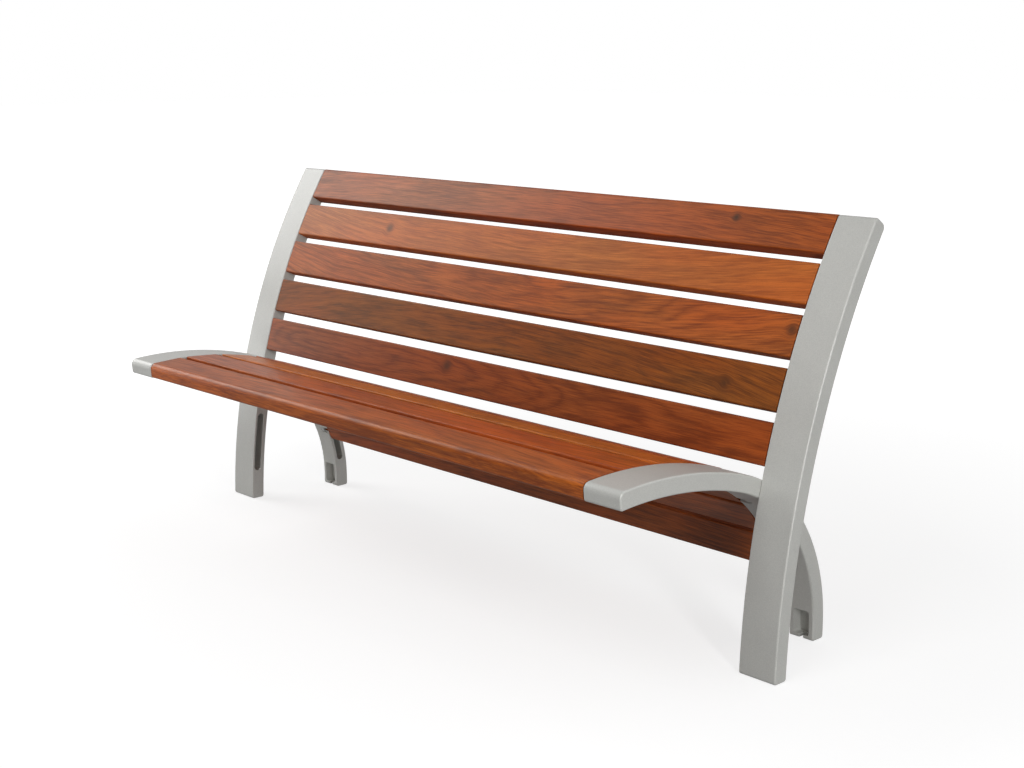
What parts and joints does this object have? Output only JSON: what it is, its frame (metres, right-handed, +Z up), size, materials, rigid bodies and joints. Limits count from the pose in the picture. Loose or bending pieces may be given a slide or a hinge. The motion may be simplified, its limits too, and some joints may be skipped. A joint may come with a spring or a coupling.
{
  "type": "bench with backrest",
  "caption": "Outdoor bench with a reclined back: curved cast end frames that cross at each side carry long hardwood seat and back slats.",
  "frame": {"origin": "centre of the bench's box in plan, on the ground", "axes": "+X along the bench to the sitter's left, -Y the way the sitter faces, +Z up"},
  "size_m": [1.8, 0.6246, 0.8504],
  "materials": {
    "castings": "satin silver-grey powder coat",
    "hardwood": "oiled tropical hardwood, satin",
    "fasteners": "plain stainless steel"
  },
  "bodies": {
    "root": {"back_slat_1": "hardwood", "back_slat_2": "hardwood", "back_slat_3": "hardwood", "back_slat_4": "hardwood", "back_slat_5": "hardwood", "left_back_screws": "fasteners", "left_frame_bolts": "fasteners", "left_seat_bearer": "castings", "left_seat_screws": "fasteners", "left_upright": "castings", "right_back_screws": "fasteners", "right_frame_bolts": "fasteners", "right_seat_bearer": "castings", "right_seat_screws": "fasteners", "right_upright": "castings", "seat_slat_1": "hardwood", "seat_slat_2": "hardwood", "seat_slat_3": "hardwood", "seat_slat_4": "hardwood", "seat_slat_5": "hardwood", "seat_slat_6": "hardwood", "seat_slat_7": "hardwood"}
  },
  "joints": []
}
